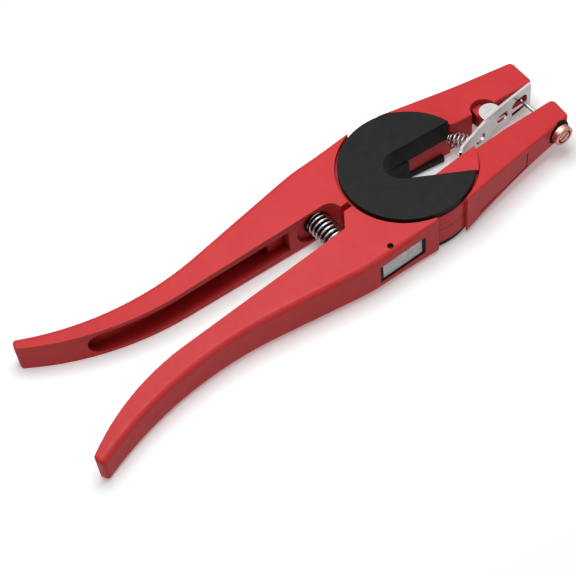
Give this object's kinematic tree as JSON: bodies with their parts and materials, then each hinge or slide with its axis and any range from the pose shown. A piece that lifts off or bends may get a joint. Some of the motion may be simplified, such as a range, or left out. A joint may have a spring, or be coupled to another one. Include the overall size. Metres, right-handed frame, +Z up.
{
  "type": "ear tag applicator",
  "caption": "Plier-type livestock ear tag applicator: two cast arms on a split round pivot with an open throat, a handle spring, a sprung clip plate and a knob-held needle.",
  "frame": {"origin": "on the pivot axis, in the plane of the lower disc's face, which the tool rests on", "axes": "+X from the pivot to the jaws, +Y to the clip jaw, +Z up along the pivot axis"},
  "size_m": [0.243, 0.0681, 0.0218],
  "materials": {
    "red_cast": "satin red powder coat on cast aluminium",
    "black_disc": "matte black",
    "spring_steel": "bright drawn wire",
    "screw_steel": "zinc plated",
    "clip_chrome": "polished plating",
    "needle_steel": "ground steel",
    "grey_plate": "matt grey sheet",
    "copper_knob": "bright copper-coloured, knurled",
    "black_rubber": "matte"
  },
  "bodies": {
    "clip_half": {"clip_arm": "red_cast", "upper_disc": "black_disc", "upper_disc_screws": "screw_steel", "window_plate": "grey_plate", "roll_pin": "screw_steel", "clip_pin": "screw_steel", "handle_spring": "spring_steel", "clip_spring": "spring_steel"},
    "needle_half": {"needle_arm": "red_cast", "lower_disc": "black_disc", "lower_disc_screws": "screw_steel", "needle": "needle_steel", "needle_bush": "screw_steel", "knob_ring": "black_rubber"},
    "clip": {"clip_plate": "clip_chrome"},
    "knob": {"needle_knob": "copper_knob"}
  },
  "joints": [
    {"name": "arms_pivot", "type": "hinge", "parent": "clip_half", "child": "needle_half", "pos_m": [0, 0, 0.0109], "axis": [0, 0, 1], "range_deg": [0, 4.5], "stiffness_Nm_per_rad": 6, "springref_deg": -3.44, "deforming": ["handle_spring"]},
    {"name": "clip_hinge", "type": "hinge", "parent": "clip_half", "child": "clip", "pos_m": [0.045, 0.0036, 0.0109], "axis": [0, 0, -1], "range_deg": [0, 9], "stiffness_Nm_per_rad": 0.08, "springref_deg": -11.46, "deforming": ["clip_spring"]},
    {"name": "knob_turn", "type": "hinge", "parent": "needle_half", "child": "knob", "pos_m": [0.0637, -0.0196, 0.0109], "axis": [0, 1, 0], "continuous": true}
  ]
}
